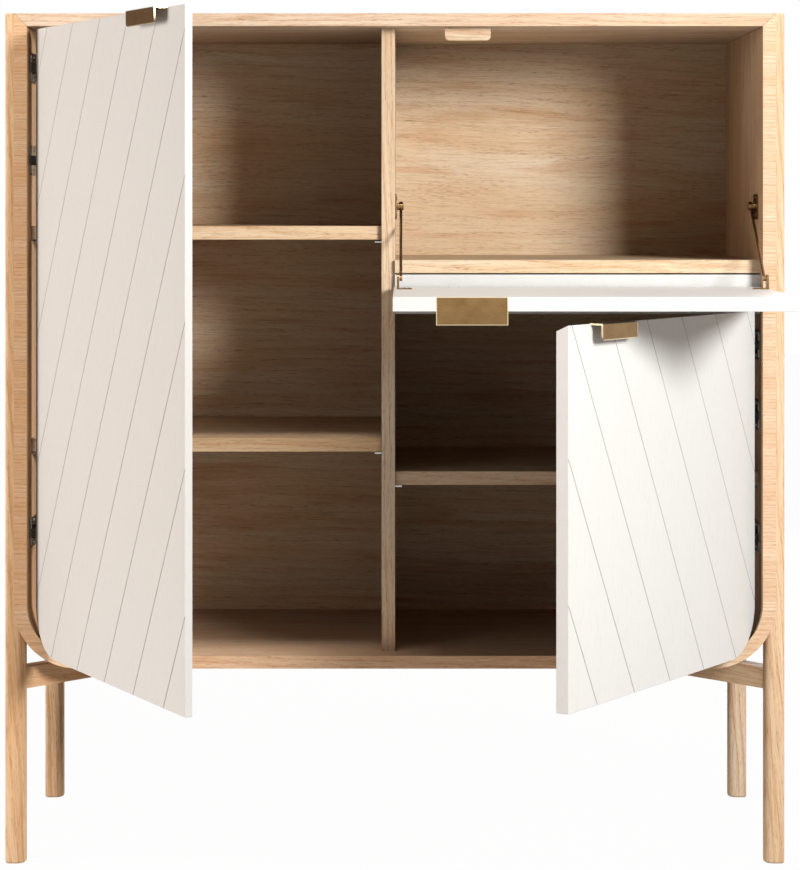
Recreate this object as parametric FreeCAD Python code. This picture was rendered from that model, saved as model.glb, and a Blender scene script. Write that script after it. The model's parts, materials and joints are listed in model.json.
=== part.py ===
import FreeCAD, Part
import math
import os

os.makedirs("parts", exist_ok=True)

# Oak highboard on four legs: two doors and a drop-front flap over a divided case.
# X runs to the right, Y from the front plane to the back, Z up from the floor, all in mm.

# Case
cabinet_width = 1100.0
cabinet_depth = 420.0
cabinet_height = 1200.0
board = 18.0
inner_board = 19.0
corner_radius = 90.0
floor_clearance = 275.5
back_thickness = 8.0
back_inset = 6.0
back_groove = 6.0
divider_setback = 35.0
overrun = 2.0

# Legs and the frame under the case
leg_size = 28.5
leg_reveal = 12.6
leg_inner_round = 13.0
leg_outer_round = 5.0
leg_top_round = 3.0
leg_foot_round = 3.5
brace_height = 30.0
brace_width = 24.0
rail_overhang = 22.0
frame_screw_radius = 2.0
frame_screw_head = 4.0
frame_screw_head_depth = 3.0
frame_screw_recess = 8.0
frame_screw_grip = 13.0
frame_screw_play = 0.3
rail_screw_spacing = 260.0

# Shelves and the desk
desk_underside = 832.8
desk_setback = 28.5
shelf_setback = 43.0
shelf_play = 0.5
left_upper_shelf_share = 0.6604
left_lower_shelf_share = 0.3196
right_shelf_share = 0.4385
pin_radius = 3.0
pin_depth = 9.0
pin_reach = 10.0
pin_front = 60.0
pin_back = 355.0
apron_thickness = 19.0
apron_height = 56.0
apron_drop = 2.0
apron_round = 2.5

# Stop block under the top panel
stop_block_start = 71.0
stop_block_length = 65.0
stop_block_height = 19.0
stop_block_depth = 18.0
stop_block_round = 7.0
stop_block_play = 0.5

# Doors and flap
door_thickness = 18.0
door_edge_round = 0.8
door_top_bevel = 8.0
door_side_gap = 2.5
door_bottom_gap = 2.0
door_top_gap = 3.0
door_meeting_gap = 3.0
door_past_divider = 1.5
left_door_rebate = 17.0
left_door_lip = 10.5
flap_below_desk = 49.8
flap_gap = 3.0
left_door_angle = 60.75
right_door_angle = 55.7
groove_width = 2.0
groove_depth = 1.3
groove_pitch = 97.0
groove_lean = 28.05
first_groove = 251.9

# Pull handles, folded from brass sheet and let into the bevelled top edges
handle_sheet = 2.0
handle_length = 91.0
handle_inset = 55.0
handle_reach = 17.5
handle_lip = 21.0
handle_lip_round = 7.0
handle_bend = 1.2
handle_screw_inset = 6.0
handle_screw_radius = 1.2
handle_screw_head = 2.3
handle_screw_proud = 0.6
handle_screw_length = 12.0

# Door hinges: a plate and an arm on the side, a cup in the door
hinge_axis_inset = 16.5
hinge_swing_radius = 27.6
hinge_clearance = 0.3
hinge_plate_thickness = 2.5
hinge_plate_front = 34.0
hinge_plate_length = 46.0
hinge_plate_height = 42.0
hinge_plate_round = 4.0
hinge_arm_height = 13.0
hinge_arm_rise = 10.0
hinge_arm_back = 76.0
hinge_nose_start = 20.8
hinge_nose_depth = 14.0
hinge_nose_reach = 17.5
hinge_plate_screw_offset = 15.5
hinge_screw_radius = 1.8
hinge_screw_head = 3.4
hinge_screw_proud = 0.7
hinge_screw_length = 14.0
cup_radius = 17.5
cup_depth = 11.5
cup_wall = 1.5
cup_centre_inset = 22.5
cup_flange_inset = 1.5
cup_flange_length = 62.0
cup_flange_width = 37.0
cup_flange_thickness = 1.2
cup_flange_round = 5.0
cup_knuckle_height = 12.0
cup_knuckle_reach = 13.5
cup_knuckle_back = 17.0
cup_screw_offset = 25.0
left_hinge_shares = (0.1896, 0.7895, 0.9389)
right_hinge_shares = (0.3313, 0.6904, 0.8968)

# Flap hinges
flap_pivot_depth = 6.0
flap_pivot_rise = 18.25
flap_hinge_inset = 85.0
flap_pin_radius = 1.5
flap_eye_radius = 3.0
flap_arm_width = 12.0
flap_arm_play = 0.4
flap_pin_play = 0.05
flap_cheek = 2.0
flap_skin = 2.5
flap_housing_height = 24.0
flap_foot_thickness = 2.0
flap_foot_height = 22.0
flap_foot_screw_offset = 7.0
flap_foot_screw_radius = 1.5
flap_foot_screw_head = 2.6
flap_foot_screw_proud = 0.5
flap_foot_screw_length = 14.0

# Flap stays: a wall plate, a swivel that turns on it, and a rod that slides through the swivel
stay_plate_thickness = 2.5
stay_plate_length = 36.0
stay_plate_height = 36.0
stay_plate_round = 4.0
stay_pivot_depth = 65.0
stay_pivot_rise = 76.1
stay_stud_radius = 2.0
stay_stud_length = 3.3
stay_swivel_radius = 5.0
stay_swivel_gap = 0.3
stay_swivel_end = 12.3
stay_fit = 0.05
stay_rod_radius = 2.0
stay_rod_offset = 8.5
stay_collar_radius = 3.2
stay_collar_length = 3.0
stay_collar_gap = 0.3
stay_eye_radius = 3.5
stay_eye_thickness = 4.0
stay_foot_reach = 72.0
stay_foot_rise = 14.75
stay_foot_width = 21.0
stay_foot_start = 3.0
stay_foot_length = 16.0
stay_foot_sheet = 1.5
stay_ear_gap = 0.3
stay_ear_radius = 5.5
stay_screw_offset = 12.5
stay_screw_radius = 1.5
stay_screw_head = 2.8
stay_screw_proud = 0.6
stay_screw_length = 13.0
foot_screw_first = 14.0
foot_screw_spacing = 6.6
foot_screw_radius = 1.2
foot_screw_head = 2.3
foot_screw_proud = 0.6
foot_screw_length = 12.0

# Places that follow from the sizes above
half_width = cabinet_width / 2
side_outer = half_width - leg_reveal
side_inner = side_outer - board
case_floor = floor_clearance + board
case_ceiling = cabinet_height - board
corner_x = side_outer - corner_radius
corner_z = floor_clearance + corner_radius
corner_inside = corner_radius - board
back_front = cabinet_depth - back_inset - back_thickness
divider_left = -inner_board
door_reach = side_inner - door_side_gap
door_bottom = case_floor + door_bottom_gap
door_top = case_ceiling - door_top_gap
door_corner = corner_inside - door_side_gap
left_door_width = door_reach - door_past_divider - door_meeting_gap
right_door_width = door_reach + door_past_divider
flap_bottom = desk_underside - flap_below_desk
right_door_top = flap_bottom - flap_gap
desk_top = desk_underside + board
apron_top = desk_underside - apron_drop
stay_pivot_level = desk_top + stay_pivot_rise
left_upper_shelf_underside = case_floor + left_upper_shelf_share * (case_ceiling - case_floor)
left_lower_shelf_underside = case_floor + left_lower_shelf_share * (case_ceiling - case_floor)
right_shelf_underside = case_floor + right_shelf_share * (desk_underside - case_floor)
left_hinge_levels = [door_bottom + share * (door_top - door_bottom) for share in left_hinge_shares]
right_hinge_levels = [door_bottom + share * (right_door_top - door_bottom) for share in right_hinge_shares]
hinge_axis_x = door_reach - hinge_axis_inset
flap_pivot_z = flap_bottom + flap_pivot_rise
bevel_angle = math.atan(door_top_bevel / door_thickness)

axis_x = FreeCAD.Vector(1, 0, 0)
axis_y = FreeCAD.Vector(0, 1, 0)
axis_z = FreeCAD.Vector(0, 0, 1)
centre = FreeCAD.Vector(0, 0, 0)
bay_centre = FreeCAD.Vector(side_inner / 2, 0, 0)
depth_centre = FreeCAD.Vector(0, cabinet_depth / 2, 0)
flap_pivot = FreeCAD.Vector(0, flap_pivot_depth, flap_pivot_z)


def point(x, y, z):
    return FreeCAD.Vector(x, y, z)


def block(x0, x1, y0, y1, z0, z1):
    return Part.makeBox(x1 - x0, y1 - y0, z1 - z0, point(x0, y0, z0))


def rod_between(radius, start, end):
    way = end - start
    return Part.makeCylinder(radius, way.Length, start, way)


def plate_xz(corners, y0, y1):
    outline = [point(x, y0, z) for x, z in corners]
    face = Part.Face(Part.makePolygon(outline + outline[:1]))
    return face.extrude(point(0, y1 - y0, 0))


def plate_yz(corners, x0, x1):
    outline = [point(x0, y, z) for y, z in corners]
    face = Part.Face(Part.makePolygon(outline + outline[:1]))
    return face.extrude(point(x1 - x0, 0, 0))


def rounded(shape, radius, direction, wanted):
    """Round the straight edges along one direction whose middle passes the test."""
    chosen = []
    for edge in shape.Edges:
        way = edge.lastVertex().Point - edge.firstVertex().Point
        if way.Length and abs(way.normalize().dot(direction)) > 1 - 1e-6 and wanted(edge.CenterOfMass):
            chosen.append(edge)
    return shape.makeFillet(radius, chosen)


def mirrored(shape, through=centre):
    return shape.mirror(through, axis_x)


def turned(shape, about, direction, degrees):
    moved = shape.copy()
    moved.rotate(about, direction, degrees)
    return moved


def merged(shapes):
    whole = shapes[0].multiFuse(shapes[1:])
    return whole.removeSplitter()


def group(shapes):
    return Part.makeCompound(shapes)


def screw(seat, way, shank, head, proud, length):
    """A screw whose head stands proud of its seat; way points into the material."""
    inward = point(way.x, way.y, way.z).normalize()
    dome = rod_between(head, seat - inward * proud, seat)
    body = rod_between(shank, seat, seat + inward * length)
    return dome.fuse(body).removeSplitter()


# Case: mitred top, two sides, two bent corners, bottom, grooved all round for the back
envelope = block(-side_outer, side_outer, -overrun, cabinet_depth + overrun,
                 floor_clearance, cabinet_height + overrun)
envelope = rounded(envelope, corner_radius, axis_y,
                   lambda p: abs(p.x) > corner_x and p.z < corner_z)

back_reach = side_inner + back_groove
back_panel = block(-back_reach, back_reach, back_front, back_front + back_thickness,
                   case_floor - back_groove, case_ceiling + back_groove)
back_panel = rounded(back_panel, corner_inside + back_groove, axis_y,
                     lambda p: abs(p.x) > corner_x and p.z < corner_z)

top_panel = plate_xz([(-side_outer, cabinet_height), (-side_inner, case_ceiling),
                      (side_inner, case_ceiling), (side_outer, cabinet_height)], 0, cabinet_depth)
left_side = plate_xz([(-side_outer, corner_z), (-side_inner, corner_z),
                      (-side_inner, case_ceiling), (-side_outer, cabinet_height)], 0, cabinet_depth)
bottom_panel = block(-corner_x, corner_x, 0, cabinet_depth, floor_clearance, case_floor)

bend_centre = point(-corner_x, 0, corner_z)
bend_end = point(-corner_x, cabinet_depth, corner_z)
left_bend = rod_between(corner_radius, bend_centre, bend_end)
left_bend = left_bend.cut(rod_between(corner_inside, bend_centre - axis_y * overrun,
                                      bend_end + axis_y * overrun))
left_bend = left_bend.common(block(-side_outer - overrun, -corner_x, -overrun, cabinet_depth + overrun,
                                   floor_clearance - overrun, corner_z))

top_panel = top_panel.cut(back_panel)
left_side = left_side.cut(back_panel)
bottom_panel = bottom_panel.cut(back_panel)
left_bend = left_bend.cut(back_panel)
right_side = mirrored(left_side)
right_bend = mirrored(left_bend)

divider = block(divider_left, 0, divider_setback, back_front, case_floor, case_ceiling)

# Legs: square, rounded in plan, housed over the side above the bend
leg = block(-half_width, leg_size - half_width, 0, leg_size, 0, cabinet_height)
leg = rounded(leg, leg_outer_round, axis_z, lambda p: p.x < leg_size / 2 - half_width)
leg = rounded(leg, leg_inner_round, axis_z, lambda p: p.x > leg_size / 2 - half_width)
foot_edges = [e for e in leg.Edges if e.BoundBox.ZMax < leg_foot_round]
leg = leg.makeFillet(leg_foot_round, foot_edges)
top_edges = [e for e in leg.Edges if e.BoundBox.ZMin > cabinet_height - leg_top_round]
leg = leg.makeFillet(leg_top_round, top_edges)
left_front_leg = leg.cut(envelope)
left_rear_leg = left_front_leg.mirror(depth_centre, axis_y)
right_front_leg = mirrored(left_front_leg)
right_rear_leg = mirrored(left_rear_leg)

# Frame under the bottom: a middle rail and four braces at 45 degrees to the legs
brace_base = floor_clearance - brace_height
brace_run = cabinet_depth / 2 - leg_size / 2
rail_half = half_width - leg_size / 2 - brace_run + rail_overhang
centre_rail = block(-rail_half, rail_half, (cabinet_depth - brace_width) / 2,
                    (cabinet_depth + brace_width) / 2, brace_base, floor_clearance)
brace = block(0, brace_run * math.sqrt(2), -brace_width / 2, brace_width / 2, 0, brace_height)
brace.rotate(centre, axis_z, 45)
brace.translate(point(leg_size / 2 - half_width, leg_size / 2, brace_base))
left_front_brace = brace.cut(left_front_leg).cut(centre_rail)


def frame_screw(x, y):
    seat = point(x, y, brace_base + frame_screw_recess)
    grip = brace_height - frame_screw_recess + frame_screw_grip
    return screw(seat, axis_z, frame_screw_radius, frame_screw_head, frame_screw_head_depth, grip)


def frame_screw_hole(x, y):
    low = point(x, y, brace_base - overrun)
    seat = point(x, y, brace_base + frame_screw_recess)
    mouth = rod_between(frame_screw_head + frame_screw_play, low, seat)
    shaft = rod_between(frame_screw_radius + frame_screw_play, low,
                        point(x, y, floor_clearance + overrun))
    return mouth.fuse(shaft)


brace_screw_x = -corner_x + frame_screw_head
brace_screw_y = brace_screw_x + half_width
frame_screws = []
left_front_brace = left_front_brace.cut(frame_screw_hole(brace_screw_x, brace_screw_y))
left_rear_brace = left_front_brace.mirror(depth_centre, axis_y)
right_front_brace = mirrored(left_front_brace)
right_rear_brace = mirrored(left_rear_brace)
for side in (-1, 1):
    for depth in (brace_screw_y, cabinet_depth - brace_screw_y):
        frame_screws.append(frame_screw(-side * brace_screw_x, depth))
for step in (-1, 0, 1):
    frame_screws.append(frame_screw(step * rail_screw_spacing, cabinet_depth / 2))
    centre_rail = centre_rail.cut(frame_screw_hole(step * rail_screw_spacing, cabinet_depth / 2))
bottom_panel = bottom_panel.cut(group(frame_screws))

# Desk, its white apron, the loose shelves and their pins
desk = block(0, side_inner, desk_setback, back_front, desk_underside, desk_top)
apron = block(0, side_inner, desk_setback, desk_setback + apron_thickness,
              apron_top - apron_height, apron_top)
apron_middle = point(0, desk_setback + apron_thickness / 2, apron_top - apron_height / 2)
apron = rounded(apron, apron_round, axis_x,
                lambda p: p.y < apron_middle.y and p.z > apron_middle.z)


def loose_shelf(x0, x1, underside):
    return block(x0 + shelf_play, x1 - shelf_play, shelf_setback, back_front - shelf_play,
                 underside, underside + inner_board)


left_upper_shelf = loose_shelf(-side_inner, divider_left, left_upper_shelf_underside)
left_lower_shelf = loose_shelf(-side_inner, divider_left, left_lower_shelf_underside)
right_shelf = loose_shelf(0, side_inner, right_shelf_underside)


def shelf_pin(wall, way, depth, underside):
    level = underside - pin_radius
    return rod_between(pin_radius, point(wall - way * pin_depth, depth, level),
                       point(wall + way * pin_reach, depth, level))


pins = []
for depth in (pin_front, pin_back):
    for underside in (left_upper_shelf_underside, left_lower_shelf_underside):
        pins.append(shelf_pin(-side_inner, 1, depth, underside))
        pins.append(shelf_pin(divider_left, -1, depth, underside))
    pins.append(shelf_pin(0, 1, depth, right_shelf_underside))
    pins.append(shelf_pin(side_inner, -1, depth, right_shelf_underside))
shelf_pins = group(pins)
left_side = left_side.cut(shelf_pins)
right_side = right_side.cut(shelf_pins)
divider = divider.cut(shelf_pins)

# Stop block that the flap meets when it is shut
stop_front = door_thickness + stop_block_play
stop_block = block(stop_block_start, stop_block_start + stop_block_length, stop_front,
                   stop_front + stop_block_depth, case_ceiling - stop_block_height, case_ceiling)
stop_block = rounded(stop_block, stop_block_round, axis_y,
                     lambda p: p.z < case_ceiling - stop_block_height / 2)


# Doors and flap are drawn shut, with the hinge side on the left, and turned to their open place after
def grooves(x0, x1, z0, z1):
    """V grooves that lean towards the hinge side on their way down."""
    lean = math.tan(math.radians(groove_lean))
    half = groove_width / 2 / math.cos(math.radians(groove_lean))
    mouth = half * (groove_depth + overrun) / groove_depth
    low = z0 - overrun
    rise = z1 + overrun - low
    start = -door_reach + first_groove + lean * (low - door_bottom)
    first = math.ceil((x0 - start - lean * rise - groove_width) / groove_pitch)
    last = math.floor((x1 - start + groove_width) / groove_pitch)
    cutters = []
    for index in range(first, last + 1):
        x = start + index * groove_pitch
        outline = [point(x - mouth, -overrun, low), point(x, groove_depth, low),
                   point(x + mouth, -overrun, low)]
        face = Part.Face(Part.makePolygon(outline + outline[:1]))
        cutters.append(face.extrude(point(lean * rise, 0, rise)))
    return group(cutters)


def front_panel(width, z0, z1):
    """A board with a top edge that falls away to the inside."""
    x0 = -door_reach
    x1 = x0 + width
    outline = [(0, z0), (door_thickness, z0), (door_thickness, z1 - door_top_bevel), (0, z1)]
    return plate_yz(outline, x0, x1), grooves(x0, x1, z0, z1)


def eased(panel):
    return panel.makeFillet(door_edge_round, panel.Edges)


def handle(free_edge, top):
    """Lip in front of the outer face, web out to it, flange let into the bevelled edge."""
    x1 = free_edge - handle_inset
    x0 = x1 - handle_length
    inner_bend = -handle_sheet * math.tan(bevel_angle / 2)
    flange_end = top - door_top_bevel
    outline = [(-handle_reach, top), (0, top), (door_thickness, flange_end),
               (door_thickness, flange_end - handle_sheet / math.cos(bevel_angle)),
               (inner_bend, top - handle_sheet), (handle_sheet - handle_reach, top - handle_sheet),
               (handle_sheet - handle_reach, top - handle_lip), (-handle_reach, top - handle_lip)]
    folded = plate_yz(outline, x0, x1)
    folded = rounded(folded, handle_bend, axis_x,
                     lambda p: p.z > top - handle_sheet / 2 and p.y < handle_sheet - handle_reach)
    return rounded(folded, handle_lip_round, axis_y, lambda p: p.z < top - handle_lip + handle_sheet)


def handle_screws(free_edge, top):
    x1 = free_edge - handle_inset
    x0 = x1 - handle_length
    way = point(0, -math.sin(bevel_angle), -math.cos(bevel_angle))
    return group([screw(point(x, door_thickness / 2, top - door_top_bevel / 2), way, handle_screw_radius,
                        handle_screw_head, handle_screw_proud, handle_screw_length)
                  for x in (x0 + handle_screw_inset, x1 - handle_screw_inset)])


def hinge_plate(level):
    wall = -side_inner
    plate = block(wall, wall + hinge_plate_thickness, hinge_plate_front,
                  hinge_plate_front + hinge_plate_length,
                  level - hinge_plate_height / 2, level + hinge_plate_height / 2)
    return rounded(plate, hinge_plate_round, axis_x, lambda p: True)


def hinge_plate_screws(level):
    seat_x = -side_inner + hinge_plate_thickness
    depth = hinge_plate_front + hinge_plate_length / 2
    return [screw(point(seat_x, depth, level + way * hinge_plate_screw_offset), -axis_x,
                  hinge_screw_radius, hinge_screw_head, hinge_screw_proud, hinge_screw_length)
            for way in (-1, 1)]


def swing_cylinder(radius, level):
    return rod_between(radius, point(-hinge_axis_x, 0, level - cup_flange_length),
                       point(-hinge_axis_x, 0, level + cup_flange_length))


def hinge_arm(level):
    base = -side_inner + hinge_plate_thickness
    low = level - hinge_arm_height / 2
    high = level + hinge_arm_height / 2
    bar = block(base, base + hinge_arm_rise, hinge_nose_start, hinge_arm_back, low, high)
    bar = rounded(bar, hinge_arm_rise / 2, axis_z, lambda p: p.y > hinge_plate_front and p.x > base)
    nose = block(base, hinge_nose_reach - hinge_axis_x, hinge_nose_start,
                 hinge_nose_start + hinge_nose_depth, low, high)
    nose = rounded(nose, hinge_nose_depth / 3, axis_z,
                   lambda p: p.x > base and p.y > hinge_nose_start + hinge_nose_depth / 2)
    return merged([bar, nose]).cut(swing_cylinder(hinge_swing_radius + hinge_clearance, level))


def hinge_cup(level):
    x = -door_reach + cup_centre_inset
    deep = door_thickness - cup_depth
    cup = rod_between(cup_radius, point(x, deep, level), point(x, door_thickness, level))
    rim = door_thickness + cup_flange_thickness
    flange_start = -door_reach + cup_flange_inset
    flange = block(flange_start, flange_start + cup_flange_width, door_thickness, rim,
                   level - cup_flange_length / 2, level + cup_flange_length / 2)
    flange = rounded(flange, cup_flange_round, axis_y, lambda p: True)
    well = rod_between(cup_radius - cup_wall, point(x, deep + cup_wall, level),
                       point(x, rim + overrun, level))
    knuckle = block(-hinge_axis_x - cup_knuckle_back, cup_knuckle_reach - hinge_axis_x,
                    deep + cup_wall, hinge_swing_radius,
                    level - cup_knuckle_height / 2, level + cup_knuckle_height / 2)
    knuckle = knuckle.common(swing_cylinder(hinge_swing_radius, level))
    outside = block(-door_reach - overrun, x - cup_radius + cup_wall, 0, door_thickness,
                    level - cup_knuckle_height, level + cup_knuckle_height)
    return merged([cup.fuse(flange).cut(well), knuckle.cut(outside)])


def cup_bore(level):
    x = -door_reach + cup_centre_inset
    return rod_between(cup_radius, point(x, door_thickness - cup_depth, level),
                       point(x, door_thickness + overrun, level))


def cup_screws(level):
    x = -door_reach + cup_centre_inset
    seat_y = door_thickness + cup_flange_thickness
    return [screw(point(x, seat_y, level + way * cup_screw_offset), -axis_y, hinge_screw_radius,
                  hinge_screw_head, hinge_screw_proud, hinge_screw_length) for way in (-1, 1)]


def fitted_door(width, top, levels, rebate):
    """A door with its handle, cups and screws, and the plates, arms and screws on the side."""
    panel, cutters = front_panel(width, door_bottom, top)
    free_edge = width - door_reach
    if rebate:
        panel = panel.cut(block(free_edge - rebate, free_edge + overrun, left_door_lip,
                                door_thickness + overrun, door_bottom - overrun, top + overrun))
    panel = rounded(panel, door_corner, axis_y,
                    lambda p: p.x < -corner_x and p.z < corner_z)
    panel = eased(panel).cut(cutters)
    pull = handle(free_edge, top)
    panel = panel.cut(pull)
    pull_screws = handle_screws(free_edge, top)
    cups = group([hinge_cup(level) for level in levels])
    screws = group([s for level in levels for s in cup_screws(level)])
    for level in levels:
        panel = panel.cut(cup_bore(level))
    panel = panel.cut(screws).cut(pull_screws)
    pull = pull.cut(pull_screws)
    cups = group([solid.cut(screws) for solid in cups.Solids])
    plates = group([hinge_plate(level) for level in levels])
    side_screws = group([s for level in levels for s in hinge_plate_screws(level)])
    plates = group([solid.cut(side_screws) for solid in plates.Solids])
    arms = group([hinge_arm(level) for level in levels])
    return {"panel": panel, "handle": pull, "handle_screws": pull_screws, "cups": cups,
            "cup_screws": screws, "plates": plates, "arms": arms, "side_screws": side_screws}


left = fitted_door(left_door_width, door_top, left_hinge_levels, left_door_rebate)
right = fitted_door(right_door_width, right_door_top, right_hinge_levels, 0)
right = {name: mirrored(shape) for name, shape in right.items()}
left_side = left_side.cut(left["side_screws"])
right_side = right_side.cut(right["side_screws"])
left_axis = point(-hinge_axis_x, 0, 0)
right_axis = point(hinge_axis_x, 0, 0)
door_pieces = ("panel", "handle", "handle_screws", "cups", "cup_screws")
for name in door_pieces:
    left[name] = turned(left[name], left_axis, axis_z, -left_door_angle)
    right[name] = turned(right[name], right_axis, axis_z, right_door_angle)

# Flap, drawn shut like the doors
flap_panel, flap_cutters = front_panel(right_door_width, flap_bottom, door_top)
flap_handle = mirrored(handle(right_door_width - door_reach, door_top))
flap = mirrored(eased(flap_panel).cut(flap_cutters)).cut(flap_handle)
flap_handle_screws = mirrored(handle_screws(right_door_width - door_reach, door_top))
flap = flap.cut(flap_handle_screws)
flap_handle = flap_handle.cut(flap_handle_screws)

flap_hinge_places = (flap_hinge_inset - door_past_divider, door_reach - flap_hinge_inset)
cavity_half = flap_arm_width / 2 + flap_arm_play
housing_half = cavity_half + flap_cheek
housing_top = flap_bottom + flap_housing_height
arm_front = desk_setback - flap_foot_thickness
arms = []
hinge_pins = []
housings = []
arm_screws = []
for x in flap_hinge_places:
    shell = block(x - housing_half, x + housing_half, flap_skin, door_thickness, flap_bottom, housing_top)
    flap = flap.cut(shell)
    hollow = block(x - cavity_half, x + cavity_half, flap_skin, door_thickness,
                   flap_bottom, housing_top - flap_cheek)
    pin = rod_between(flap_pin_radius, point(x - housing_half, flap_pivot_depth, flap_pivot_z),
                      point(x + housing_half, flap_pivot_depth, flap_pivot_z))
    housings.append(shell.cut(hollow).cut(pin))
    hinge_pins.append(pin)
    half = flap_arm_width / 2
    eye = rod_between(flap_eye_radius, point(x - half, flap_pivot_depth, flap_pivot_z),
                      point(x + half, flap_pivot_depth, flap_pivot_z))
    bar = block(x - half, x + half, flap_pivot_depth, desk_setback,
                flap_pivot_z - flap_eye_radius, flap_pivot_z + flap_eye_radius)
    foot = block(x - half, x + half, arm_front, desk_setback,
                 flap_pivot_z - flap_foot_height / 2, flap_pivot_z + flap_foot_height / 2)
    bore = rod_between(flap_pin_radius + flap_pin_play,
                       point(x - half - overrun, flap_pivot_depth, flap_pivot_z),
                       point(x + half + overrun, flap_pivot_depth, flap_pivot_z))
    screws = [screw(point(x, arm_front, flap_pivot_z + way * flap_foot_screw_offset), axis_y,
                    flap_foot_screw_radius, flap_foot_screw_head, flap_foot_screw_proud,
                    flap_foot_screw_length) for way in (-1, 1)]
    arm_screws += screws
    arms.append(merged([eye, bar, foot]).cut(bore).cut(group(screws)))
flap_hinge_arms = group(arms)
flap_hinge_pins = group(hinge_pins)
flap_hinge_housings = group(housings)
flap_arm_screws = group(arm_screws)
apron = apron.cut(flap_arm_screws)

flap = turned(flap, flap_pivot, axis_x, 90)
flap_handle = turned(flap_handle, flap_pivot, axis_x, 90)
flap_handle_screws = turned(flap_handle_screws, flap_pivot, axis_x, 90)
flap_hinge_pins = turned(flap_hinge_pins, flap_pivot, axis_x, 90)
flap_hinge_housings = turned(flap_hinge_housings, flap_pivot, axis_x, 90)

# Stays, drawn on the divider for the open flap and mirrored to the right side
flap_face = flap_pivot_z - flap_pivot_depth + door_thickness
pivot = point(0, stay_pivot_depth, stay_pivot_level)
foot_pivot = point(0, -stay_foot_reach, flap_face + stay_foot_rise)
rod_way = pivot - foot_pivot
rod_length = rod_way.Length
rod_angle = math.degrees(math.atan2(rod_way.z, rod_way.y))
rod_way.normalize()

stay_plate = block(0, stay_plate_thickness, stay_pivot_depth - stay_plate_length / 2,
                   stay_pivot_depth + stay_plate_length / 2,
                   stay_pivot_level - stay_plate_height / 2, stay_pivot_level + stay_plate_height / 2)
stay_plate = rounded(stay_plate, stay_plate_round, axis_x, lambda p: True)
stud = rod_between(stay_stud_radius, pivot, pivot + axis_x * (stay_plate_thickness + stay_stud_length))
stay_screws = group([screw(pivot + point(stay_plate_thickness, 0, way * stay_screw_offset), -axis_x,
                           stay_screw_radius, stay_screw_head, stay_screw_proud, stay_screw_length)
                     for way in (-1, 1)])
stay_plate = merged([stay_plate, stud]).cut(stay_screws)

rod_line = axis_x * stay_rod_offset
swivel_start = stay_plate_thickness + stay_swivel_gap
stud_hole = rod_between(stay_stud_radius + stay_fit, pivot,
                        pivot + axis_x * (stay_plate_thickness + stay_stud_length + stay_swivel_gap))
rod_hole = rod_between(stay_rod_radius + stay_fit, pivot + rod_line - rod_way * stay_swivel_radius * 2,
                       pivot + rod_line + rod_way * stay_swivel_radius * 2)
stay_swivel = rod_between(stay_swivel_radius, pivot + axis_x * swivel_start,
                          pivot + axis_x * stay_swivel_end).cut(stud_hole).cut(rod_hole)

collar_start = pivot + rod_line + rod_way * (stay_swivel_radius + stay_collar_gap)
collar_end = collar_start + rod_way * stay_collar_length
collar = rod_between(stay_collar_radius, collar_start, collar_end)
shaft = rod_between(stay_rod_radius, foot_pivot + rod_line, collar_end)
eye = rod_between(stay_eye_radius, foot_pivot + axis_x * (stay_rod_offset - stay_eye_thickness / 2),
                  foot_pivot + axis_x * (stay_rod_offset + stay_eye_thickness / 2))
stay_rod = merged([shaft, eye, collar])

ear_end = stay_rod_offset - stay_eye_thickness / 2 - stay_ear_gap
foot_middle = foot_pivot.y
sole = block(stay_foot_start, stay_foot_start + stay_foot_width, foot_middle - stay_foot_length / 2,
             foot_middle + stay_foot_length / 2, flap_face, flap_face + stay_foot_sheet)
ear = block(stay_foot_start, ear_end, foot_middle - stay_ear_radius, foot_middle + stay_ear_radius,
            flap_face, foot_pivot.z)
ear_top = rod_between(stay_ear_radius, foot_pivot + axis_x * stay_foot_start, foot_pivot + axis_x * ear_end)
foot_screws = group([screw(point(foot_screw_first + index * foot_screw_spacing, foot_middle,
                                 flap_face + stay_foot_sheet), -axis_z, foot_screw_radius,
                           foot_screw_head, foot_screw_proud, foot_screw_length)
                     for index in range(2)])
stay_foot = merged([sole, ear, ear_top]).cut(foot_screws)

right_foot_screws = mirrored(foot_screws, bay_centre)
right_stay_screws = mirrored(stay_screws, bay_centre)
flap = flap.cut(foot_screws).cut(right_foot_screws)
divider = divider.cut(stay_screws)
right_side = right_side.cut(right_stay_screws)

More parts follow.
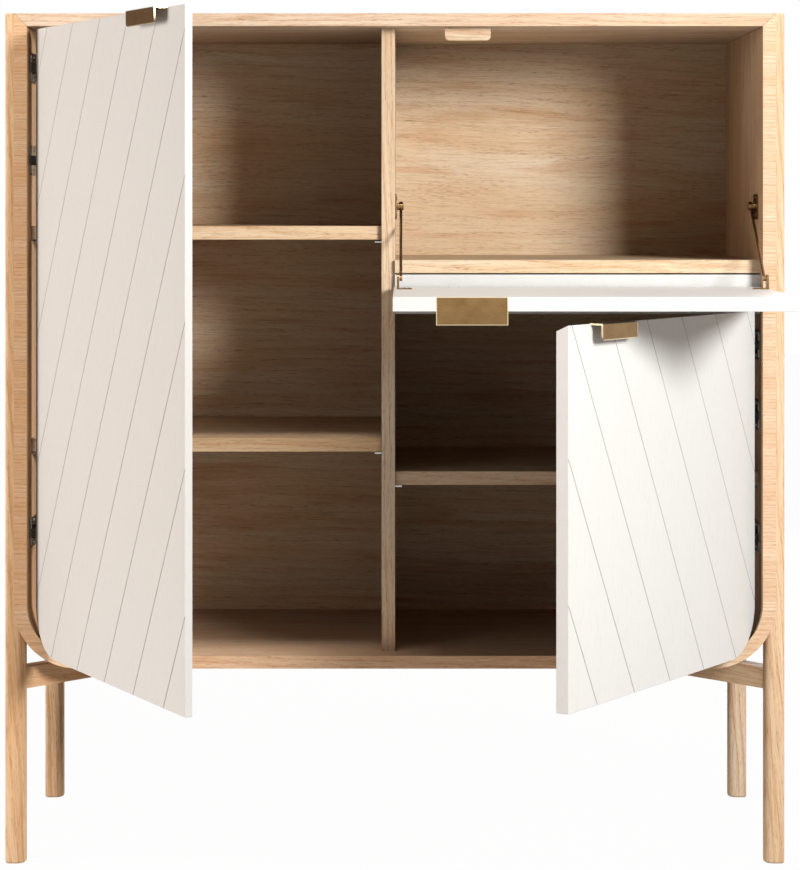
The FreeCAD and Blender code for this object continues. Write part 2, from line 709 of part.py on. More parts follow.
pieces = {
    "top_panel": top_panel,
    "left_side_panel": left_side,
    "right_side_panel": right_side,
    "left_bent_corner": left_bend,
    "right_bent_corner": right_bend,
    "bottom_panel": bottom_panel,
    "back_panel": back_panel,
    "divider": divider,
    "desk_shelf": desk,
    "flap_apron": apron,
    "left_upper_shelf": left_upper_shelf,
    "left_lower_shelf": left_lower_shelf,
    "right_shelf": right_shelf,
    "shelf_pins": shelf_pins,
    "left_front_leg": left_front_leg,
    "right_front_leg": right_front_leg,
    "left_rear_leg": left_rear_leg,
    "right_rear_leg": right_rear_leg,
    "left_front_brace": left_front_brace,
    "right_front_brace": right_front_brace,
    "left_rear_brace": left_rear_brace,
    "right_rear_brace": right_rear_brace,
    "centre_rail": centre_rail,
    "frame_screws": group(frame_screws),
    "stop_block": stop_block,
    "left_hinge_plates": left["plates"],
    "left_hinge_arms": left["arms"],
    "right_hinge_plates": right["plates"],
    "right_hinge_arms": right["arms"],
    "hinge_plate_screws": group(left["side_screws"].Solids + right["side_screws"].Solids),
    "flap_hinge_arms": flap_hinge_arms,
    "flap_arm_screws": flap_arm_screws,
    "left_stay_plate": stay_plate,
    "right_stay_plate": mirrored(stay_plate, bay_centre),
    "stay_plate_screws": group(stay_screws.Solids + right_stay_screws.Solids),
    "left_door": left["panel"],
    "left_handle": left["handle"],
    "left_handle_screws": left["handle_screws"],
    "left_hinge_cups": left["cups"],
    "left_cup_screws": left["cup_screws"],
    "right_door": right["panel"],
    "right_handle": right["handle"],
    "right_handle_screws": right["handle_screws"],
    "right_hinge_cups": right["cups"],
    "right_cup_screws": right["cup_screws"],
    "flap": flap,
    "flap_handle": flap_handle,
    "flap_handle_screws": flap_handle_screws,
    "flap_hinge_housings": flap_hinge_housings,
    "flap_hinge_pins": flap_hinge_pins,
    "left_stay_foot": stay_foot,
    "right_stay_foot": mirrored(stay_foot, bay_centre),
    "stay_foot_screws": group(foot_screws.Solids + right_foot_screws.Solids),
    "left_stay_swivel": stay_swivel,
    "right_stay_swivel": mirrored(stay_swivel, bay_centre),
    "left_stay_rod": stay_rod,
    "right_stay_rod": mirrored(stay_rod, bay_centre),
}

# The origin is on the floor, below the middle of the whole object as it stands open
left_front = (left_door_width - hinge_axis_inset) * math.sin(math.radians(left_door_angle))
right_front = (right_door_width - hinge_axis_inset) * math.sin(math.radians(right_door_angle))
flap_front = door_top - flap_pivot_z - flap_pivot_depth
open_front = max(left_front, right_front, flap_front)
shift = (open_front - cabinet_depth) / 2

for name, shape in pieces.items():
    placed = shape.copy()
    placed.translate(axis_y * shift)
    placed.exportStep("parts/" + name + ".step")
    sound = placed.isValid() and all(solid.Volume > 0 for solid in placed.Solids)
    print(name, len(placed.Solids), round(placed.Volume), "sound" if sound else "NOT SOUND")

print("shift", shift)
print("door axes", -hinge_axis_x, hinge_axis_x, shift)
print("flap pivot", flap_pivot_depth + shift, flap_pivot_z)
print("stay pivot", stay_pivot_depth + shift, stay_pivot_level, "rod length", rod_length, "angle", rod_angle)
print("foot pivot", foot_pivot.y + shift, foot_pivot.z)
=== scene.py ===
import bpy
import json
import math
from mathutils import Matrix, Vector


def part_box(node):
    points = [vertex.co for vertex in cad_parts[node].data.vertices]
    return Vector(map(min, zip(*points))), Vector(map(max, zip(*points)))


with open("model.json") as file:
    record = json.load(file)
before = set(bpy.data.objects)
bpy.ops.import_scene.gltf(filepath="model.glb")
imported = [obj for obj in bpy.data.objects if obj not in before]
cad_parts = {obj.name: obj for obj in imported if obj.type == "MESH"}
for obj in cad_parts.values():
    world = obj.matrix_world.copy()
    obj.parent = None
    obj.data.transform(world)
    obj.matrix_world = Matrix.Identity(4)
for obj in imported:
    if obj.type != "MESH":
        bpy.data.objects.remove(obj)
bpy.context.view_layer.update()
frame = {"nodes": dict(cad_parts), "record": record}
nodes = frame["nodes"]
print("frame loaded,", len(nodes), "pieces")

xAxis, yAxis, zAxis = 0, 1, 2
white = "#FFFFFF"
leftDoorTurn, rightDoorTurn = 60.75, -55.7      # degrees that turn each door, as it stands, back to shut


def linearColour(hexText):
    channels = [int(hexText[i:i + 2], 16) / 255 for i in (1, 3, 5)]
    return tuple(c / 12.92 if c <= 0.04045 else ((c + 0.055) / 1.055) ** 2.4 for c in channels) + (1.0,)


def addNode(tree, kind, inputs=None, **settings):
    node = tree.nodes.new(kind)
    for key, value in settings.items():
        setattr(node, key, value)
    for key, value in (inputs or {}).items():
        if isinstance(value, bpy.types.NodeSocket):
            tree.links.new(value, node.inputs[key])
        else:
            node.inputs[key].default_value = value
    return node


def newMaterial(name):
    material = bpy.data.materials.new(name)
    material.use_nodes = True
    tree = material.node_tree
    tree.nodes.clear()
    return material, tree


def finishMaterial(tree, inputs):
    shader = addNode(tree, "ShaderNodeBsdfPrincipled", inputs)
    addNode(tree, "ShaderNodeOutputMaterial", {"Surface": shader.outputs["BSDF"]})


def dress(nodeName, material):
    slots = nodes[nodeName].data.materials
    slots.clear()
    slots.append(material)


# Where a point of the surface lies once its board is turned back by so many degrees, as x, y and z
def turnedPlace(tree, turn):
    place = addNode(tree, "ShaderNodeTexCoord").outputs["Object"]
    if turn:
        place = addNode(tree, "ShaderNodeVectorRotate", {"Vector": place, "Angle": math.radians(turn)},
                        rotation_type="Z_AXIS").outputs[0]
    return addNode(tree, "ShaderNodeSeparateXYZ", {0: place}).outputs


# A pattern's scale is how many of its marks fill a metre along, across and through the grain, so that
# 1 / 0.005 is a mark every 5 mm
def grainPattern(tree, place, pattern):
    stretched = addNode(tree, "ShaderNodeMapping", {"Vector": place, "Scale": pattern["perMetre"]}).outputs[0]
    return addNode(tree, "ShaderNodeTexNoise",
                   {"Vector": stretched, "Scale": 1.0, "Detail": pattern["detail"],
                    "Roughness": pattern.get("roughness", 0.5)}).outputs


# The same pattern, and the part of its range that counts as a mark drawn out to the full range
def grainMarks(tree, place, pattern):
    noise = grainPattern(tree, place, pattern)["Fac"]
    low, high = pattern["between"]
    least, most = pattern.get("onto", (0.0, 1.0))
    marks = addNode(tree, "ShaderNodeMapRange", {0: noise, 1: low, 2: high, 3: least, 4: most}).outputs[0]
    return noise, marks


# Oak: sliced or sawn, sanded and matt lacquered. The eye gets long fine growth lines that wander a
# little, short dark pores along the grain and almost no gloss
oak = {
    "pale": "#FBE9CF",
    "middle": "#F2D5B1",
    "streak": "#DBA87B",
    "pore": "#AD7C53",
    "glue": "#8E6B4B",
    "roughness": 0.55,
    "ior": 1.5,
    "gloss": 0.12,             # thin matt lacquer, weaker than bare IOR 1.5
    "bump": 0.00012,
    "bumpStrength": 0.35,
    "strays": (                # the fibres wander, a lot over a hand's width and a little over a finger's
        {"perMetre": (2.2, 9, 9), "detail": 2.0, "reach": 0.028},
        {"perMetre": (14, 60, 60), "detail": 1.0, "reach": 0.00196},
    ),
    "ringSpacing": 0.008,      # growth ring on a flat-cut face
    "ringTones": ((0.0, 0.35), (1.0, 0.35), (0.06, 1.0), (0.30, 0.30), (0.55, 0.0), (0.9, 0.08)),
    "streaks": {"perMetre": (4.5, 1 / 0.005, 1 / 0.005), "detail": 5.0, "roughness": 0.72,
                "between": (0.46, 0.70)},
    "hairs": {"perMetre": (16, 1 / 0.0016, 1 / 0.0016), "detail": 2.0, "between": (0.52, 0.70)},
    "bands": {"perMetre": (1.6, 1 / 0.045, 1 / 0.045), "detail": 2.0, "between": (0.34, 0.68)},
    "tongues": {"perMetre": (5, 34, 34), "detail": 4.0, "between": (0.52, 0.66)},
    # a real pore is 0.3 mm wide, drawn coarser so that it shows
    "pores": {"perMetre": (1 / 0.012, 1 / 0.001, 1 / 0.001), "detail": 1.0, "between": (0.56, 0.70)},
    "porousShare": 0.6,        # how far the pores keep to the porous start of each ring
    "ringDark": 0.35,
    "streakDark": 0.55,
    "hairDark": 0.36,
    "poreDark": 0.70,
    "markDark": 0.9,
    "glueDark": 0.5,
    "glueLine": 0.0007,        # a real one is 0.1 mm, drawn wider so that it shows
    "edgeFacing": 0.7,         # how squarely a face looks across the board to count as its edge
    "edgeFineness": 1.7,
}


def oakMaterial(name, along, across, through, offset, turn=0, tilt=0.03, depth=0.05, slope=0.02,
                spacing=oak["ringSpacing"], figure=1.0, tintAndPaintedLight=white, flame=0.0, edgeFigure=0.0, mitre=None):
    material, tree = newMaterial(name)
    parts = turnedPlace(tree, turn)
    board = addNode(tree, "ShaderNodeCombineXYZ",
                    {0: parts[along], 1: parts[across], 2: parts[through]}).outputs[0]
    if edgeFigure:      # the sides' front edges are crossbanded: fine pale grain runs in from the edge
        normal = addNode(tree, "ShaderNodeNewGeometry").outputs["Normal"]
        normal = addNode(tree, "ShaderNodeSeparateXYZ", {0: normal}).outputs[across]
        normal = addNode(tree, "ShaderNodeMath", {0: normal}, operation="ABSOLUTE").outputs[0]
        onEdge = addNode(tree, "ShaderNodeMath", {0: normal, 1: oak["edgeFacing"]},
                         operation="GREATER_THAN").outputs[0]
        turned = addNode(tree, "ShaderNodeCombineXYZ",
                         {0: parts[through], 1: parts[along], 2: parts[across]}).outputs[0]
        turned = addNode(tree, "ShaderNodeVectorMath", {0: turned, 1: (1.0, oak["edgeFineness"], 1.0)},
                         operation="MULTIPLY").outputs[0]
        board = addNode(tree, "ShaderNodeMix", {0: onEdge, 4: board, 5: turned},
                        data_type="VECTOR").outputs[1]
        figure = addNode(tree, "ShaderNodeMix", {0: onEdge, 2: figure, 3: edgeFigure}).outputs[0]
    board = addNode(tree, "ShaderNodeVectorMath", {0: board, 1: offset}, operation="ADD").outputs[0]

    fibres = board
    for stray in oak["strays"]:
        sway = grainPattern(tree, board, stray)["Color"]
        sway = addNode(tree, "ShaderNodeVectorMath", {0: sway, 1: (0.5, 0.5, 0.5)},
                       operation="SUBTRACT").outputs[0]
        fibres = addNode(tree, "ShaderNodeVectorMath",
                         {0: sway, 1: (0, stray["reach"], stray["reach"]), 2: fibres},
                         operation="MULTIPLY_ADD").outputs[0]
    lines = addNode(tree, "ShaderNodeSeparateXYZ", {0: fibres}).outputs
    acrossLine = addNode(tree, "ShaderNodeMath", {0: lines[0], 1: slope, 2: lines[1]},
                         operation="MULTIPLY_ADD").outputs[0]
    fibres = addNode(tree, "ShaderNodeCombineXYZ", {0: lines[0], 1: acrossLine, 2: lines[2]}).outputs[0]

    # growth rings cut at a low angle: porous and dark where each one starts, smooth after
    core = addNode(tree, "ShaderNodeMath", {0: lines[0], 1: tilt, 2: depth},
                   operation="MULTIPLY_ADD").outputs[0]
    core = addNode(tree, "ShaderNodeMath", {0: lines[2], 1: core}, operation="ADD").outputs[0]
    ringPlace = addNode(tree, "ShaderNodeCombineXYZ", {0: 0.0, 1: acrossLine, 2: core}).outputs[0]
    radius = addNode(tree, "ShaderNodeVectorMath", {0: ringPlace}, operation="LENGTH").outputs["Value"]
    rings = addNode(tree, "ShaderNodeMath", {0: radius, 1: spacing}, operation="DIVIDE").outputs[0]
    rings = addNode(tree, "ShaderNodeMath", {0: rings}, operation="FRACT").outputs[0]
    early = addNode(tree, "ShaderNodeValToRGB", {0: rings})
    stops = early.color_ramp.elements
    for count, (spot, tone) in enumerate(oak["ringTones"]):      # a new ramp has its two ends already
        stop = stops[count] if count < 2 else stops.new(spot)
        stop.position = spot
        stop.color = (tone, tone, tone, 1)
    early = early.outputs[0]

    # dark streaks, hair lines between them, broad soft bands and the pores
    streaks, streakMark = grainMarks(tree, fibres, oak["streaks"])
    hairMark = grainMarks(tree, fibres, oak["hairs"])[1]
    bandMark = grainMarks(tree, fibres, oak["bands"])[1]
    poreMark = grainMarks(tree, fibres, oak["pores"])[1]
    porous = addNode(tree, "ShaderNodeMath", {0: early, 1: oak["porousShare"], 2: 1 - oak["porousShare"]},
                     operation="MULTIPLY_ADD").outputs[0]
    poreMark = addNode(tree, "ShaderNodeMath", {0: poreMark, 1: porous}, operation="MULTIPLY").outputs[0]

    # the colours, from the ground up
    ground = addNode(tree, "ShaderNodeMix",
                     {0: bandMark, 6: linearColour(oak["pale"]), 7: linearColour(oak["middle"])},
                     data_type="RGBA").outputs[2]
    dark = addNode(tree, "ShaderNodeMath", {0: early, 1: oak["ringDark"]}, operation="MULTIPLY").outputs[0]
    dark = addNode(tree, "ShaderNodeMath", {0: streakMark, 1: oak["streakDark"], 2: dark},
                   operation="MULTIPLY_ADD").outputs[0]
    if flame:      # the broad darker tongues of a flat-sliced sheet
        tongueMark = grainMarks(tree, fibres, oak["tongues"])[1]
        dark = addNode(tree, "ShaderNodeMath", {0: tongueMark, 1: flame, 2: dark},
                       operation="MULTIPLY_ADD").outputs[0]
    dark = addNode(tree, "ShaderNodeMath", {0: dark, 1: figure}, operation="MULTIPLY",
                   use_clamp=True).outputs[0]
    colour = addNode(tree, "ShaderNodeMix", {0: dark, 6: ground, 7: linearColour(oak["streak"])},
                     data_type="RGBA").outputs[2]
    marks = addNode(tree, "ShaderNodeMath", {0: hairMark, 1: oak["hairDark"]},
                    operation="MULTIPLY").outputs[0]
    marks = addNode(tree, "ShaderNodeMath", {0: poreMark, 1: oak["poreDark"], 2: marks},
                    operation="MULTIPLY_ADD").outputs[0]
    marks = addNode(tree, "ShaderNodeMath", {0: marks, 1: oak["markDark"]}, operation="MULTIPLY",
                    use_clamp=True).outputs[0]
    colour = addNode(tree, "ShaderNodeMix", {0: marks, 6: colour, 7: linearColour(oak["pore"])},
                     data_type="RGBA").outputs[2]
    # the board's tint: partly its own tone and partly painted light
    colour = addNode(tree, "ShaderNodeMix", {0: 1.0, 6: colour, 7: linearColour(tintAndPaintedLight)},
                     data_type="RGBA", blend_type="MULTIPLY").outputs[2]
    if mitre is not None:      # the glue line of the mitre runs at 45 degrees through the upper corners
        side = addNode(tree, "ShaderNodeMath", {0: parts[xAxis]}, operation="ABSOLUTE").outputs[0]
        side = addNode(tree, "ShaderNodeMath", {0: side, 1: parts[zAxis]}, operation="SUBTRACT").outputs[0]
        glue = addNode(tree, "ShaderNodeMath", {0: side, 1: mitre, 2: oak["glueLine"]},
                       operation="COMPARE").outputs[0]
        glue = addNode(tree, "ShaderNodeMath", {0: glue, 1: oak["glueDark"]},
                       operation="MULTIPLY").outputs[0]
        colour = addNode(tree, "ShaderNodeMix", {0: glue, 6: colour, 7: linearColour(oak["glue"])},
                         data_type="RGBA").outputs[2]
    height = addNode(tree, "ShaderNodeMath", {0: streaks, 1: poreMark}, operation="SUBTRACT").outputs[0]
    relief = addNode(tree, "ShaderNodeBump", {"Strength": oak["bumpStrength"], "Distance": oak["bump"],
                                              "Height": height}).outputs[0]
    finishMaterial(tree, {"Base Color": colour, "Roughness": oak["roughness"], "Normal": relief,
                          "IOR": oak["ior"], "Specular IOR Level": oak["gloss"]})
    return material


# How the grain runs: in boards that lie, that face sideways, and that face the front with the grain
# level or upright. Each board's offset cuts it from another place in the log
lying = dict(along=xAxis, across=yAxis, through=zAxis)
sideways = dict(along=zAxis, across=yAxis, through=xAxis)
facing = dict(along=xAxis, across=zAxis, through=yAxis)
upright = dict(along=zAxis, across=xAxis, through=yAxis)
leg = dict(upright, slope=0.05, figure=1.25)
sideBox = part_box("right_side_panel")
mitrePlace = sideBox[1][xAxis] - sideBox[1][zAxis]
leftCut = (1.1, -0.2, 0.5)
rightCut = (2.6, -0.25, -0.5)
# The tints are partly each board's own tone and partly painted light for how the light fell on it, such as
# the warmer left side, legs and front brace and the darker right front leg
oakBoards = {
    "top_panel": dict(lying, offset=(0.3, 0.1, 0.02), tintAndPaintedLight="#F5F4F8", mitre=mitrePlace),
    "bottom_panel": dict(lying, offset=(1.7, 0.35, 0.01), tintAndPaintedLight="#FFF3EC"),
    "back_panel": dict(facing, offset=(0.4, -0.98, -0.38), tilt=0.05, depth=0.04, spacing=0.016,
                       figure=0.50, flame=0.85, tintAndPaintedLight="#FFFBF6"),
    "desk_shelf": dict(lying, offset=(2.2, 0.2, -0.8), tintAndPaintedLight="#FCF9F1", tilt=0.06, depth=0.02),
    "left_upper_shelf": dict(lying, offset=(2.9, 0.3, -0.86), tintAndPaintedLight="#FFF8ED"),
    "left_lower_shelf": dict(lying, offset=(3.4, 0.22, -0.56), tintAndPaintedLight="#FFF9EF"),
    "right_shelf": dict(lying, offset=(3.9, 0.27, -0.5)),
    "left_side_panel": dict(sideways, offset=leftCut, tintAndPaintedLight="#F9E6D3", edgeFigure=0.85, mitre=mitrePlace),
    "right_side_panel": dict(sideways, offset=rightCut, tintAndPaintedLight="#FBF2EC", edgeFigure=0.95, mitre=mitrePlace),
    "left_bent_corner": dict(sideways, offset=leftCut, tintAndPaintedLight="#F9E8D8", edgeFigure=0.85),
    "right_bent_corner": dict(sideways, offset=rightCut, tintAndPaintedLight="#FAF2EC", edgeFigure=0.90),
    "divider": dict(sideways, offset=(4.2, -0.2, 0.01)),
    "left_front_leg": dict(leg, offset=(5.1, 0.55, 0.03), tintAndPaintedLight="#FFF1DF"),
    "right_front_leg": dict(leg, offset=(6.3, -0.52, 0.04), tintAndPaintedLight="#FAF1E6"),
    "left_rear_leg": dict(leg, offset=(7.2, 0.5, -0.38), tintAndPaintedLight="#FFF1DF"),
    "right_rear_leg": dict(leg, offset=(8.4, -0.5, -0.36)),
    "left_front_brace": dict(facing, offset=(9.1, -0.25, 0.1), tintAndPaintedLight="#FFEDDA", turn=-45),
    "right_rear_brace": dict(facing, offset=(9.7, -0.24, 0.2), turn=-45),
    "right_front_brace": dict(facing, offset=(10.3, -0.26, 0.3), tintAndPaintedLight="#FFF6EC", turn=45),
    "left_rear_brace": dict(facing, offset=(11.1, -0.25, 0.1), turn=45),
    "centre_rail": dict(facing, offset=(12.2, -0.25, -0.2)),
    "stop_block": dict(facing, offset=(13.1, -1.17, -0.03)),
}
for boardName, cut in oakBoards.items():
    dress(boardName, oakMaterial("oak_" + boardName, **cut))
print("oak boards dressed")

# White lacquer sprayed over open-grain boards: satin, with the pores just showing through, and painted shade
# darkening its grooves and gaps
lacquer = {
    "colour": "#E6E5E2",
    "shade": "#D9D7D2",
    # the colour of the painted shade in the grooves and gaps
    "paintedGrooveShade": "#7D766F",
    "roughness": 0.42,
    "ior": 1.48,
    "bump": 0.00008,
    "bumpStrength": 0.3,
    # a real pore is 0.3 mm wide, drawn coarser so that it shows
    "pores": {"perMetre": (1 / 0.016, 1 / 0.0012, 1 / 0.0012), "detail": 2.0, "between": (0.55, 0.75)},
    "bands": {"perMetre": (1.5, 22, 22), "detail": 3.0},
    "bandShare": 0.25,
    "shadeShare": 0.6,
    "creviceReach": 0.0018,    # how near the walls have to be for the painted shade to darken a groove
    "creviceBetween": (0.45, 0.95),
    "creviceSamples": 8,
}


def lacquerMaterial(name, along, across, through, turn=0):
    material, tree = newMaterial(name)
    parts = turnedPlace(tree, turn)
    board = addNode(tree, "ShaderNodeCombineXYZ",
                    {0: parts[along], 1: parts[across], 2: parts[through]}).outputs[0]
    poreMark = grainMarks(tree, board, lacquer["pores"])[1]
    bands = grainPattern(tree, board, lacquer["bands"])["Fac"]
    tone = addNode(tree, "ShaderNodeMath", {0: bands, 1: lacquer["bandShare"], 2: poreMark},
                   operation="MULTIPLY_ADD").outputs[0]
    tone = addNode(tree, "ShaderNodeMath", {0: tone, 1: lacquer["shadeShare"]},
                   operation="MULTIPLY").outputs[0]
    ground = addNode(tree, "ShaderNodeMix",
                     {0: tone, 6: linearColour(lacquer["colour"]), 7: linearColour(lacquer["shade"])},
                     data_type="RGBA").outputs[2]
    # painted shade: where walls stand near, in the grooves and gaps, the colour is darkened towards the
    # groove shade
    paintedShadeMask = addNode(tree, "ShaderNodeAmbientOcclusion", {"Distance": lacquer["creviceReach"]},
                     samples=lacquer["creviceSamples"], only_local=True).outputs["AO"]
    low, high = lacquer["creviceBetween"]
    paintedShadeMask = addNode(tree, "ShaderNodeMapRange", {0: paintedShadeMask, 1: low, 2: high}).outputs[0]
    colour = addNode(tree, "ShaderNodeMix",
                     {0: paintedShadeMask, 6: linearColour(lacquer["paintedGrooveShade"]), 7: ground},
                     data_type="RGBA").outputs[2]
    height = addNode(tree, "ShaderNodeMath", {0: poreMark, 1: -1.0}, operation="MULTIPLY").outputs[0]
    relief = addNode(tree, "ShaderNodeBump", {"Strength": lacquer["bumpStrength"],
                                              "Distance": lacquer["bump"], "Height": height}).outputs[0]
    finishMaterial(tree, {"Base Color": colour, "Roughness": lacquer["roughness"], "Normal": relief,
                          "IOR": lacquer["ior"]})
    return material


dress("left_door", lacquerMaterial("white_lacquer_left_door", turn=leftDoorTurn, **upright))
dress("right_door", lacquerMaterial("white_lacquer_right_door", turn=rightDoorTurn, **upright))
dress("flap", lacquerMaterial("white_lacquer_flap", **lying))
dress("flap_apron", lacquerMaterial("white_lacquer_apron", **facing))
print("white boards dressed")

# Brass sheet and rod: folded, brushed along its length and clear lacquered, a warm soft mirror
brass = {
    "colour": "#A08055",
    "dull": "#84653F",
    # colour and width of the painted highlight along the handles' cut edges
    "bright": "#EBD9B2",
    "rim": 0.001,
    "bump": 0.00001,
    "brush": {"perMetre": (1 / 0.03, 1 / 0.0004, 1 / 0.0004), "detail": 2.0, "between": (0.3, 0.7),
              "onto": (0.18, 0.32)},
}
# Nickel-plated steel: pressed and polished, a cool bright mirror with small dents
nickel = {
    "colour": "#C9C6C0",
    "dull": "#A9A6A1",
    "bump": 0.00004,
    "brush": {"perMetre": (1 / 0.004, 1 / 0.0015, 1 / 0.0015), "detail": 2.0, "between": (0.3, 0.7),
              "onto": (0.14, 0.28)},
}
# Both metals are duller in patches as wide as a fingertip
metalPatches = {"perMetre": (60, 60, 60), "detail": 3.0, "between": (0.35, 0.7), "onto": (0.4, 0.9)}
metalBumpStrength = 0.15


def metalMaterial(name, metal, turn=0, corners=()):
    material, tree = newMaterial(name)
    place = addNode(tree, "ShaderNodeTexCoord").outputs["Object"]
    brush, rough = grainMarks(tree, place, metal["brush"])
    dull = grainMarks(tree, place, metalPatches)[1]
    colour = addNode(tree, "ShaderNodeMix",
                     {0: dull, 6: linearColour(metal["colour"]), 7: linearColour(metal["dull"])},
                     data_type="RGBA").outputs[2]
    if corners:      # painted highlight: a bright band along the folded sheet's cut edges, where their thin edges catch the light
        parts = turnedPlace(tree, turn)
        rim = 0.0
        for axis in (xAxis, zAxis):
            for corner in corners:
                near = addNode(tree, "ShaderNodeMath", {0: parts[axis], 1: corner[axis], 2: metal["rim"]},
                               operation="COMPARE").outputs[0]
                rim = addNode(tree, "ShaderNodeMath", {0: near, 1: rim}, operation="MAXIMUM").outputs[0]
        colour = addNode(tree, "ShaderNodeMix", {0: rim, 6: colour, 7: linearColour(metal["bright"])},
                         data_type="RGBA").outputs[2]
    relief = addNode(tree, "ShaderNodeBump", {"Strength": metalBumpStrength, "Distance": metal["bump"],
                                              "Height": brush}).outputs[0]
    finishMaterial(tree, {"Base Color": colour, "Metallic": 1.0, "Roughness": rough, "Normal": relief})
    return material


brushedBrass = metalMaterial("brass_brushed_lacquered", brass)
platedNickel = metalMaterial("steel_nickel_plated", nickel)
metals = {"brass": brushedBrass, "nickel": platedNickel, "steel": platedNickel}
for entry in frame["record"]["subparts"]:
    if entry["material_slot"] in metals:
        dress(entry["node"], metals[entry["material_slot"]])
# each handle gets the painted highlight along the edges of its box
handleTurns = {"left_handle": leftDoorTurn, "right_handle": rightDoorTurn, "flap_handle": 0}
for handleName, turn in handleTurns.items():
    straight = Matrix.Rotation(math.radians(turn), 3, "Z")
    spots = [straight @ vertex.co for vertex in nodes[handleName].data.vertices]
    corners = [[pick(spot[axis] for spot in spots) for axis in (xAxis, yAxis, zAxis)]
               for pick in (min, max)]
    dress(handleName, metalMaterial("brass_" + handleName, brass, turn, corners))
print("metal dressed")

# Floor, light and camera
studio = {
    "bounces": 1,              # the case's shaded bays stay as deep as in a dark studio
    "roomLight": 0.03,
    "roomColour": "#FFB891",   # what little light is left in the room is warm
    "floorReach": 12.0,
    "paperColour": "#C9C1B8",
    "paperGlow": 0.975,        # to the camera and in the gloss the paper is white with a trace of shadow
    "flagEnds": ((-3.3, -0.1), (-1.3, 2.5)),
    "flagHeight": 3.0,
    "flagColour": "#998D84",
}
warmWhite = "#FFF8F3"
lamps = {
    "key_softbox": dict(place=(1.64, -2.05, 1.56), target=(0, 0, 0.75), size=0.72, power=69.0),
    "side_softbox": dict(place=(-2.82, -1.03, 1.0), target=(0, 0, 0.7), size=1.5, power=60.0,
                         colour=warmWhite),
    "top_softbox": dict(place=(0.15, -0.26, 2.9), target=(0.15, -0.22, 0.8), size=1.0, power=28.0,
                        colour=warmWhite),
    # it lights the back alone and nothing by way of the floor
    "rear_softbox": dict(place=(1.1, 3.2, 1.7), target=(0, 0.43, 0.6), size=1.8, power=75.0,
                         colour=warmWhite, bounces=0, inPicture=False),
}


def areaLight(name, place, target, size, power, colour=white, bounces=studio["bounces"], inPicture=True):
    light = bpy.data.lights.new(name, "AREA")
    light.color = linearColour(colour)[:3]
    light.shape = "DISK"
    light.size = size
    light.energy = power
    light.cycles.max_bounces = bounces
    lamp = bpy.data.objects.new(name, light)
    lamp.location = place
    lamp.rotation_euler = (Vector(target) - Vector(place)).to_track_quat("-Z", "Y").to_euler()
    lamp.visible_camera = inPicture
    bpy.context.scene.collection.objects.link(lamp)


for lampName, lamp in lamps.items():
    areaLight(lampName, **lamp)

room = bpy.data.worlds.new("room")
room.use_nodes = True
bpy.context.scene.world = room
tree = room.node_tree
tree.nodes.clear()
ray = addNode(tree, "ShaderNodeLightPath").outputs
seen = addNode(tree, "ShaderNodeMath", {0: ray["Is Camera Ray"], 1: ray["Is Transmission Ray"]},
               operation="MAXIMUM").outputs[0]
seen = addNode(tree, "ShaderNodeMath", {0: seen, 1: ray["Is Glossy Ray"]}, operation="MAXIMUM").outputs[0]
strength = addNode(tree, "ShaderNodeMapRange", {0: seen, 3: studio["roomLight"], 4: 1.0}).outputs[0]
tone = addNode(tree, "ShaderNodeMix",
               {0: seen, 6: linearColour(studio["roomColour"]), 7: linearColour(white)},
               data_type="RGBA").outputs[2]
air = addNode(tree, "ShaderNodeBackground", {"Color": tone, "Strength": strength})
addNode(tree, "ShaderNodeOutputWorld", {"Surface": air.outputs[0]})


def flatPiece(name, corners, face):
    mesh = bpy.data.meshes.new(name)
    mesh.from_pydata(corners, [], [face])
    piece = bpy.data.objects.new(name, mesh)
    bpy.context.scene.collection.objects.link(piece)
    return piece


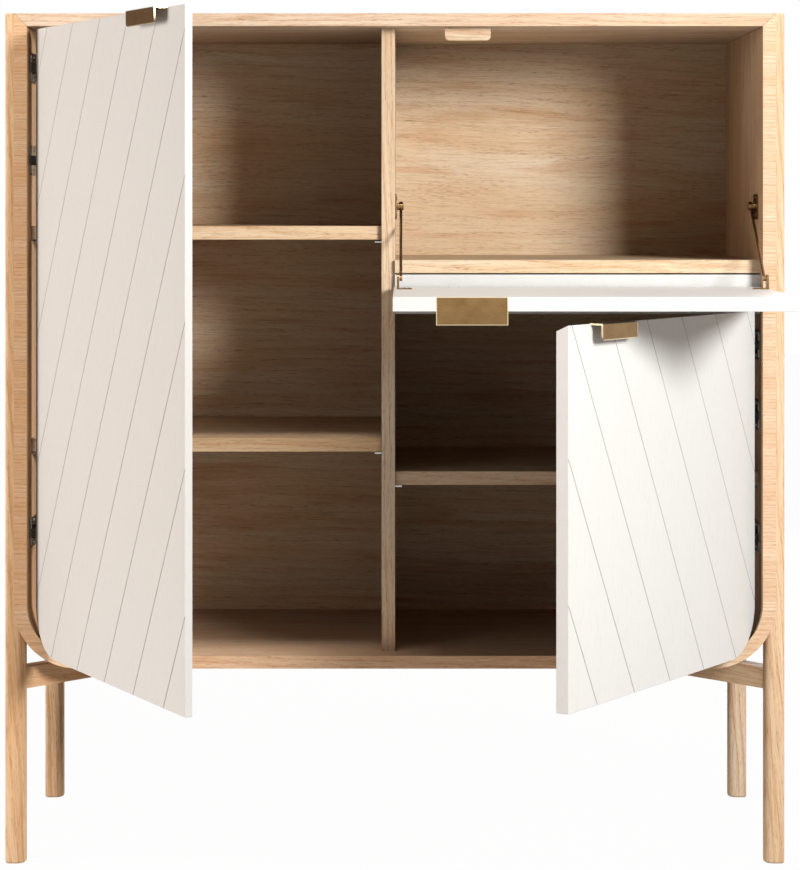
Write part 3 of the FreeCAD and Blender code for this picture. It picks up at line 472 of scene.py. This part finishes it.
# Paper: matt, rolled out under the cabinet, white to the eye
reach = studio["floorReach"]
floor = flatPiece("floor", [(-reach, -reach, 0), (reach, -reach, 0), (reach, reach, 0), (-reach, reach, 0)],
                  (0, 1, 2, 3))
floorMaterial, tree = newMaterial("paper_white_floor")
ray = addNode(tree, "ShaderNodeLightPath").outputs
paper = addNode(tree, "ShaderNodeBsdfDiffuse", {"Color": linearColour(studio["paperColour"])})
glow = addNode(tree, "ShaderNodeEmission", {"Color": linearColour(white), "Strength": 1.0})
seen = addNode(tree, "ShaderNodeMath", {0: ray["Is Camera Ray"], 1: ray["Is Glossy Ray"]},
               operation="MAXIMUM").outputs[0]
seen = addNode(tree, "ShaderNodeMath", {0: seen, 1: studio["paperGlow"]}, operation="MULTIPLY").outputs[0]
mixed = addNode(tree, "ShaderNodeMixShader", {0: seen, 1: paper.outputs[0], 2: glow.outputs[0]})
addNode(tree, "ShaderNodeOutputMaterial", {"Surface": mixed.outputs[0]})
floor.data.materials.append(floorMaterial)

# Felt: a grey-brown flag behind and to the left, darker than the room and seen only in the gloss of
# the left door and its handle
flagCorners = [(x, y, z) for x, y in studio["flagEnds"] for z in (0.0, studio["flagHeight"])]
flag = flatPiece("dark_flag", flagCorners, (0, 2, 3, 1))
flag.visible_camera = flag.visible_diffuse = flag.visible_shadow = flag.visible_transmission = False
flagMaterial, tree = newMaterial("brown_felt_flag")
felt = addNode(tree, "ShaderNodeEmission", {"Color": linearColour(studio["flagColour"]), "Strength": 1.0})
addNode(tree, "ShaderNodeOutputMaterial", {"Surface": felt.outputs[0]})
flag.data.materials.append(flagMaterial)

# The photograph's viewpoint as it was fitted: a level camera whose picture is shifted down
view = {
    "place": (0.0136, -3.503665, 0.9316),
    "turn": (math.radians(90), 0, 0),
    "lens": 102.98,
    "sensor": 36,
    "photoHeight": 870,
    "shiftPixels": (-4.5, -231.5),
    "farthest": 100,
}
lens = bpy.data.cameras.new("camera")
lens.lens = view["lens"]
lens.sensor_width = view["sensor"]
lens.sensor_fit = "AUTO"
lens.shift_x, lens.shift_y = [pixels / view["photoHeight"] for pixels in view["shiftPixels"]]
lens.clip_end = view["farthest"]
camera = bpy.data.objects.new("camera", lens)
camera.location = view["place"]
camera.rotation_euler = view["turn"]
bpy.context.scene.collection.objects.link(camera)
bpy.context.scene.camera = camera
bpy.context.scene.view_settings.view_transform = "Standard"
print("studio ready")
